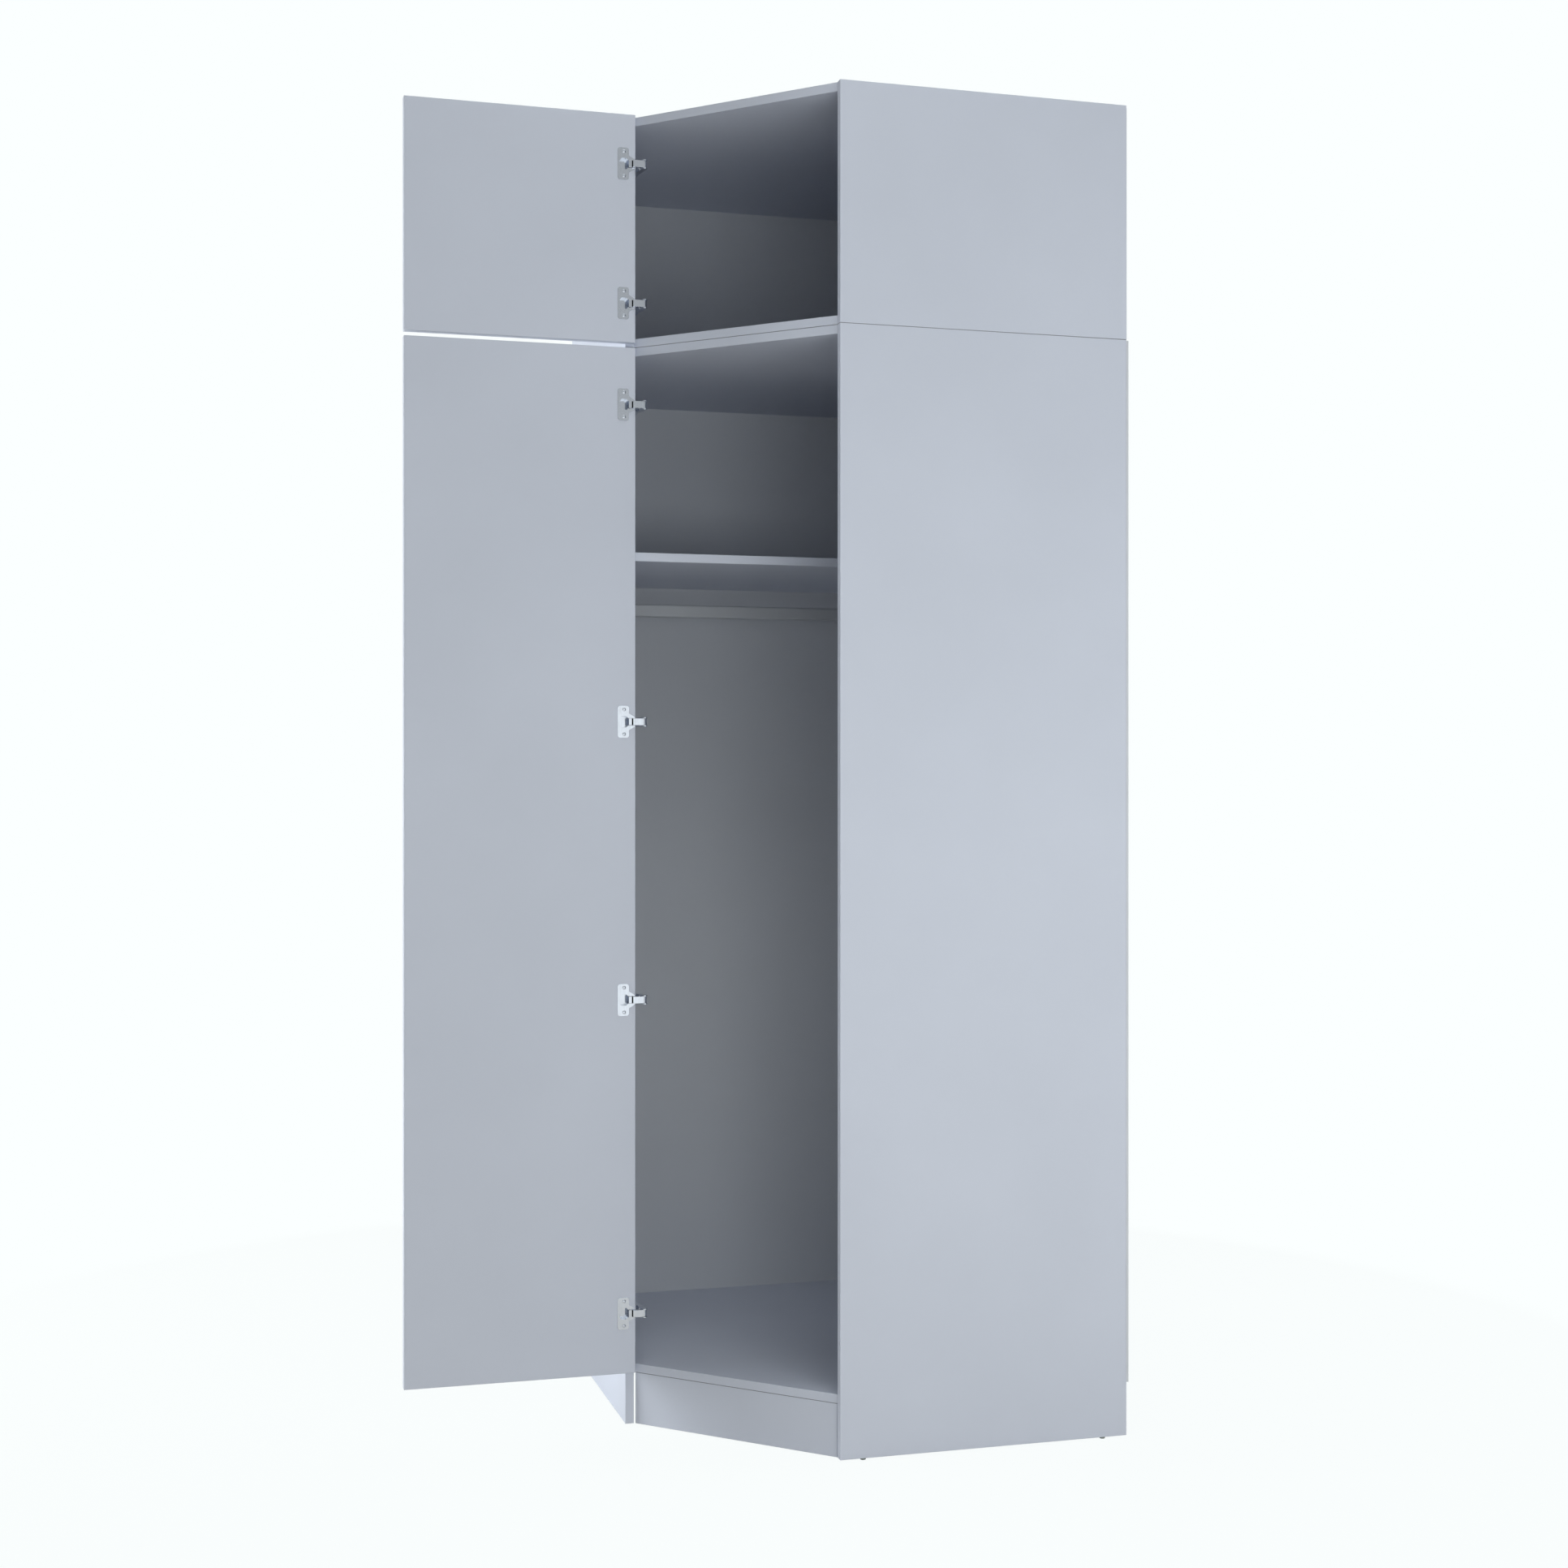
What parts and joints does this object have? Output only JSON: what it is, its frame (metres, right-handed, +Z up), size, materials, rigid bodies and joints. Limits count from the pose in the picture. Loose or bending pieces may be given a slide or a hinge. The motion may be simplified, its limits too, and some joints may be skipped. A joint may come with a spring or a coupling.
{
  "type": "corner wardrobe",
  "caption": "Five-sided corner wardrobe with a top cabinet, diagonal doors on concealed hinges, hat shelf, hanging rail and plinth.",
  "frame": {"origin": "under the middle of the box around the wardrobe with its doors open, on the floor", "axes": "+X along the right side towards the right wall, +Y towards the rear wall, +Z up"},
  "size_m": [1.2652, 0.86, 2.404],
  "materials": {
    "board": "satin light grey melamine",
    "door_board": "satin light grey melamine",
    "back_sheet": "painted hardboard",
    "hinge_steel": "nickel plated",
    "rail_steel": "satin",
    "fastener_steel": "zinc plated",
    "grey_plastic": "moulded",
    "glide_plastic": "moulded",
    "dowel_wood": "raw beech"
  },
  "bodies": {
    "carcass": {"arm_screws": "fastener_steel", "back_nails": "fastener_steel", "bracket_screws": "fastener_steel", "cam_bolts": "fastener_steel", "cam_locks": "fastener_steel", "clothes_rail": "rail_steel", "dowels": "dowel_wood", "glides": "glide_plastic", "hat_shelf": "board", "hinge_plates": "hinge_steel", "joining_bolts": "fastener_steel", "lower_bottom": "board", "lower_door_hinge_arm_1": "hinge_steel", "lower_door_hinge_arm_2": "hinge_steel", "lower_door_hinge_arm_3": "hinge_steel", "lower_door_hinge_arm_4": "hinge_steel", "lower_left_side": "board", "lower_post_rear": "board", "lower_post_right": "board", "lower_rear_back": "back_sheet", "lower_right_back": "back_sheet", "lower_right_side": "board", "lower_top": "board", "plate_screws": "fastener_steel", "plinth": "board", "rail_socket_left": "grey_plastic", "rail_socket_right": "grey_plastic", "rail_socket_screws": "fastener_steel", "rear_leg": "board", "shelf_pins": "fastener_steel", "shelf_traverse": "board", "upper_bottom": "board", "upper_door_hinge_arm_1": "hinge_steel", "upper_door_hinge_arm_2": "hinge_steel", "upper_left_side": "board", "upper_post_rear": "board", "upper_post_right": "board", "upper_rear_back": "back_sheet", "upper_right_back": "back_sheet", "upper_right_side": "board", "upper_top": "board", "wall_brackets": "fastener_steel"},
    "lower_door_leaf": {"lower_door": "door_board", "lower_door_cup_pins": "fastener_steel", "lower_door_cup_screws": "fastener_steel", "lower_door_hinge_cup_1": "hinge_steel", "lower_door_hinge_cup_2": "hinge_steel", "lower_door_hinge_cup_3": "hinge_steel", "lower_door_hinge_cup_4": "hinge_steel"},
    "lower_cup_link_set": {"lower_door_cup_links": "hinge_steel"},
    "lower_arm_link_set": {"lower_door_arm_links": "hinge_steel", "lower_door_link_pins": "fastener_steel"},
    "upper_door_leaf": {"upper_door": "door_board", "upper_door_cup_pins": "fastener_steel", "upper_door_cup_screws": "fastener_steel", "upper_door_hinge_cup_1": "hinge_steel", "upper_door_hinge_cup_2": "hinge_steel"},
    "upper_cup_link_set": {"upper_door_cup_links": "hinge_steel"},
    "upper_arm_link_set": {"upper_door_arm_links": "hinge_steel", "upper_door_link_pins": "fastener_steel"}
  },
  "joints": [
    {"name": "lower_door_swing", "type": "hinge", "parent": "carcass", "child": "lower_door_leaf", "pos_m": [-0.21568, -0.12554, 1.05], "axis": [0, 0, 1], "range_deg": [0, 135]},
    {"name": "lower_arm_link_turn", "type": "hinge", "parent": "carcass", "child": "lower_arm_link_set", "pos_m": [-0.20137, -0.11, 1.05], "axis": [0, 0, 1], "range_deg": [0, 53.1]},
    {"name": "lower_cup_link_turn", "type": "hinge", "parent": "lower_door_leaf", "child": "lower_cup_link_set", "pos_m": [-0.22578, -0.13204, 1.05], "axis": [0, 0, 1], "range_deg": [-111.4, 0]},
    {"name": "upper_door_swing", "type": "hinge", "parent": "carcass", "child": "upper_door_leaf", "pos_m": [-0.21568, -0.12554, 2.185], "axis": [0, 0, 1], "range_deg": [0, 135]},
    {"name": "upper_arm_link_turn", "type": "hinge", "parent": "carcass", "child": "upper_arm_link_set", "pos_m": [-0.20137, -0.11, 2.185], "axis": [0, 0, 1], "range_deg": [0, 53.1]},
    {"name": "upper_cup_link_turn", "type": "hinge", "parent": "upper_door_leaf", "child": "upper_cup_link_set", "pos_m": [-0.22578, -0.13204, 2.185], "axis": [0, 0, 1], "range_deg": [-111.4, 0]}
  ],
  "couplings": [
    {"joint": "lower_arm_link_turn", "follows": "lower_door_swing", "ratio": 0.39277},
    {"joint": "lower_cup_link_turn", "follows": "lower_door_swing", "ratio": -0.82419},
    {"joint": "upper_arm_link_turn", "follows": "upper_door_swing", "ratio": 0.39277},
    {"joint": "upper_cup_link_turn", "follows": "upper_door_swing", "ratio": -0.82419}
  ]
}
